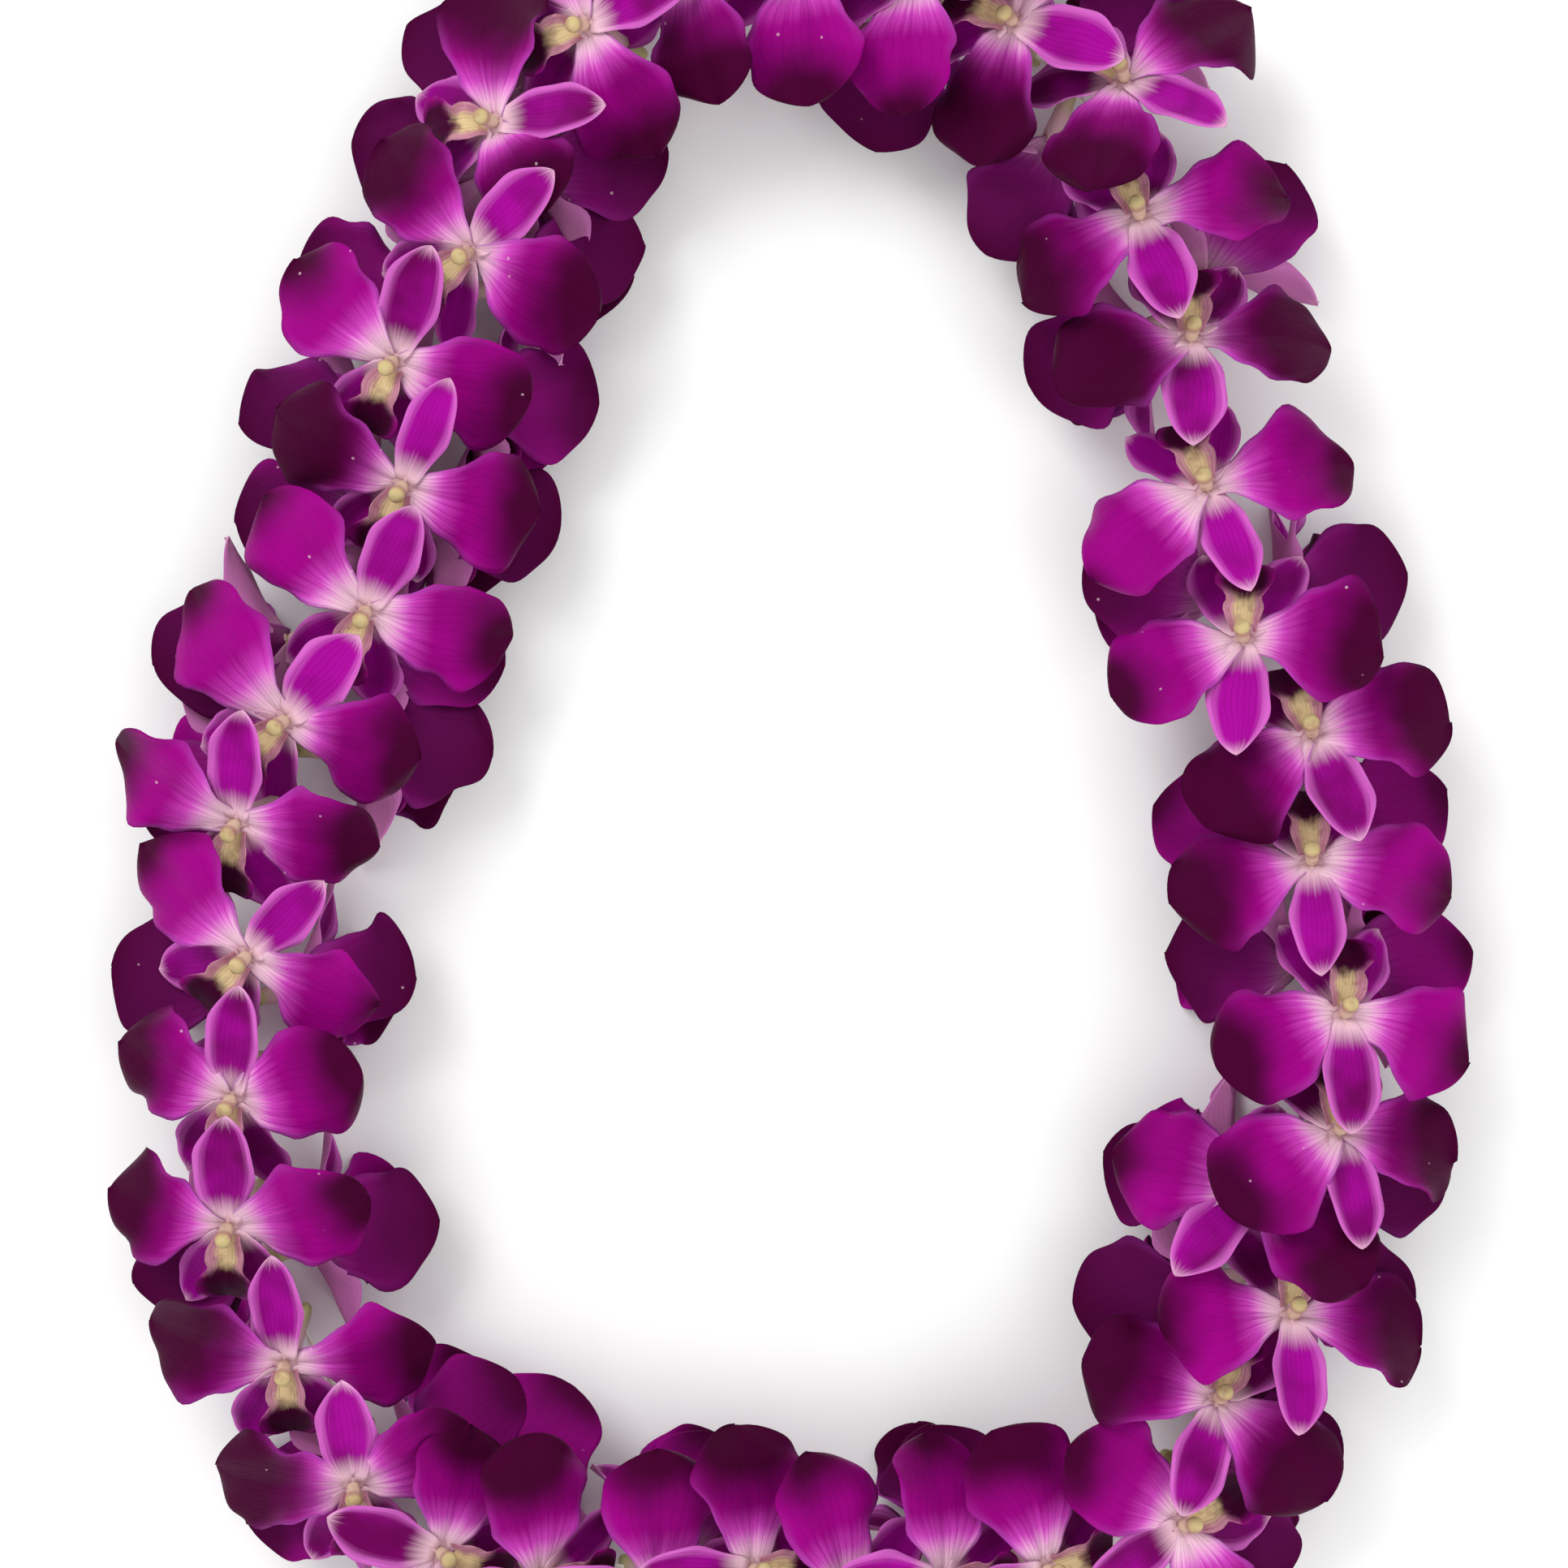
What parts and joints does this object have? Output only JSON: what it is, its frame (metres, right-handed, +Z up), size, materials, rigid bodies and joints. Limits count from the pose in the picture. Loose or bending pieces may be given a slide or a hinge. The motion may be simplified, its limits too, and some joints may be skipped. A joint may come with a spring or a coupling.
{
  "type": "fresh flower lei",
  "caption": "Closed egg-shaped ring of fresh purple orchid blooms threaded on a knotted cotton string, lying flat, worn round the neck.",
  "frame": {"origin": "centre of the lei's box in plan, at the table that it lies on", "axes": "+Z up from the table; +Y along the lei's length, towards the narrow end of the egg shape; +X to the right as seen from above"},
  "size_m": [0.2968, 0.4152, 0.0461],
  "materials": {
    "petals": "soft matte, as a fresh petal",
    "string": "plain twisted cotton"
  },
  "bodies": {
    "root": {"upper_bloom_01": "petals", "upper_bloom_02": "petals", "upper_bloom_03": "petals", "upper_bloom_04": "petals", "upper_bloom_05": "petals", "upper_bloom_06": "petals", "upper_bloom_07": "petals", "upper_bloom_08": "petals", "upper_bloom_09": "petals", "upper_bloom_10": "petals", "upper_bloom_11": "petals", "upper_bloom_12": "petals", "upper_bloom_13": "petals", "upper_bloom_14": "petals", "upper_bloom_15": "petals", "upper_bloom_16": "petals", "upper_bloom_17": "petals", "upper_bloom_18": "petals", "upper_bloom_19": "petals", "upper_bloom_20": "petals", "upper_bloom_21": "petals", "upper_bloom_22": "petals", "upper_bloom_23": "petals", "upper_bloom_24": "petals", "upper_bloom_25": "petals", "upper_bloom_26": "petals", "upper_bloom_27": "petals", "upper_bloom_28": "petals", "upper_bloom_29": "petals", "upper_bloom_30": "petals", "upper_bloom_31": "petals", "upper_bloom_32": "petals", "upper_bloom_33": "petals", "upper_bloom_34": "petals", "upper_bloom_35": "petals", "upper_bloom_36": "petals", "upper_bloom_37": "petals", "side_blooms_01": "petals", "side_blooms_02": "petals", "side_blooms_03": "petals", "side_blooms_04": "petals", "side_blooms_05": "petals", "side_blooms_06": "petals", "side_blooms_07": "petals", "side_blooms_08": "petals", "side_blooms_09": "petals", "side_blooms_10": "petals", "side_blooms_11": "petals", "side_blooms_12": "petals", "side_blooms_13": "petals", "side_blooms_14": "petals", "side_blooms_15": "petals", "side_blooms_16": "petals", "side_blooms_17": "petals", "side_blooms_18": "petals", "side_blooms_19": "petals", "side_blooms_20": "petals", "side_blooms_21": "petals", "side_blooms_22": "petals", "string": "string"}
  },
  "joints": []
}
